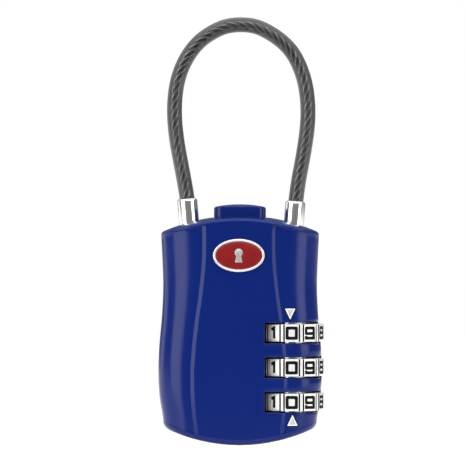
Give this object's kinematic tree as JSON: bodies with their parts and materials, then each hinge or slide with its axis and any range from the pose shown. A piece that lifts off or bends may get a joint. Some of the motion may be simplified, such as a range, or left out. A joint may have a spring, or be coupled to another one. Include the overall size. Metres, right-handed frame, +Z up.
{
  "type": "luggage combination padlock",
  "caption": "Flat zinc luggage padlock with number dials at its side, a push button on top and a loop of jacketed steel cable with one releasing end.",
  "frame": {"origin": "the inside of the cable loop's crown, where the lock hangs from what it locks", "axes": "+X right seen from the front, +Y from the front to the back, +Z up; the number dials are at the front right"},
  "size_m": [0.0331, 0.0143, 0.0856],
  "materials": {
    "case_paint": "satin navy blue paint on zinc",
    "dial_chrome": "bright chrome with black printed numbers",
    "ferrule_metal": "polished",
    "steel": "stamped",
    "spring_steel": "drawn wire and strip",
    "wire_rope": "twisted strands",
    "vinyl": "smoke grey, see-through",
    "key_brass": "machined",
    "pin_zinc": "plain",
    "badge_metal": "bright rim",
    "badge_enamel": "deep red enamel",
    "index_white": "white fill"
  },
  "bodies": {
    "case": {"front_case": "case_paint", "rear_case": "case_paint", "case_pin_1": "pin_zinc", "case_pin_2": "pin_zinc", "case_pin_3": "pin_zinc", "case_pin_4": "pin_zinc", "button_spring": "spring_steel", "latch_spring": "spring_steel", "spindle_spring": "spring_steel", "fixed_ferrule": "ferrule_metal", "ferrule_clip": "steel", "cable_core": "wire_rope", "cable_jacket": "vinyl", "detent_spring": "spring_steel", "key_barrel": "key_brass", "badge_plate": "badge_metal", "badge_enamel": "badge_enamel", "index_mark_upper": "index_white", "index_mark_lower": "index_white"},
    "button": {"push_button": "case_paint", "release_slider": "steel"},
    "spindle": {"dial_spindle": "steel"},
    "latch": {"latch_bolt": "steel"},
    "free_end": {"free_ferrule": "ferrule_metal"},
    "upper_dial": {"dial_1": "dial_chrome", "clutch_sleeve_1": "key_brass"},
    "middle_dial": {"dial_2": "dial_chrome", "clutch_sleeve_2": "key_brass"},
    "lower_dial": {"dial_3": "dial_chrome", "clutch_sleeve_3": "key_brass"},
    "key_cylinder": {"key_plug": "key_brass", "key_wafer_1": "key_brass", "key_wafer_2": "key_brass", "key_wafer_3": "key_brass", "key_wafer_4": "key_brass", "key_cam": "steel"},
    "key_lift": {"key_link": "steel"},
    "reset": {"reset_pin": "steel"}
  },
  "joints": [
    {"name": "button_press", "type": "slide", "parent": "case", "child": "button", "axis": [0, 0, -1], "range_m": [0, 0.002], "stiffness_N_per_m": 250, "springref_m": -0.002, "deforming": ["button_spring"]},
    {"name": "spindle_drop", "type": "slide", "parent": "case", "child": "spindle", "axis": [0, 0, -1], "range_m": [0, 0.002], "deforming": ["spindle_spring"]},
    {"name": "latch_draw", "type": "slide", "parent": "case", "child": "latch", "axis": [1, 0, 0], "range_m": [0, 0.0022], "deforming": ["latch_spring"]},
    {"name": "free_end_out", "type": "slide", "parent": "case", "child": "free_end", "axis": [-0.0872, 0, 0.9962], "range_m": [0, 0.0125], "deforming": ["cable_core", "cable_jacket"]},
    {"name": "upper_dial_turn", "type": "hinge", "parent": "case", "child": "upper_dial", "pos_m": [0.0105, -0.0009, -0.06002], "axis": [0, 0, 1], "continuous": true},
    {"name": "middle_dial_turn", "type": "hinge", "parent": "case", "child": "middle_dial", "pos_m": [0.0105, -0.0009, -0.0669], "axis": [0, 0, 1], "continuous": true},
    {"name": "lower_dial_turn", "type": "hinge", "parent": "case", "child": "lower_dial", "pos_m": [0.0105, -0.0009, -0.07378], "axis": [0, 0, 1], "continuous": true},
    {"name": "key_turn", "type": "hinge", "parent": "case", "child": "key_cylinder", "pos_m": [-0.004, 0, -0.07707], "axis": [0, 0, -1], "range_deg": [0, 90]},
    {"name": "key_link_slide", "type": "slide", "parent": "case", "child": "key_lift", "axis": [1, 0, 0], "range_m": [0, 0.0015]},
    {"name": "reset_press", "type": "slide", "parent": "case", "child": "reset", "axis": [0, 0, 1], "range_m": [0, 0.001], "stiffness_N_per_m": 200, "springref_m": -0.001}
  ],
  "couplings": [
    {"joint": "spindle_drop", "follows": "button_press", "ratio": 1},
    {"joint": "latch_draw", "follows": "button_press", "ratio": 1.1},
    {"joint": "free_end_out", "follows": "button_press", "ratio": 6.25},
    {"joint": "key_turn", "follows": "key_link_slide", "rad_per_m": 1047.2}
  ]
}
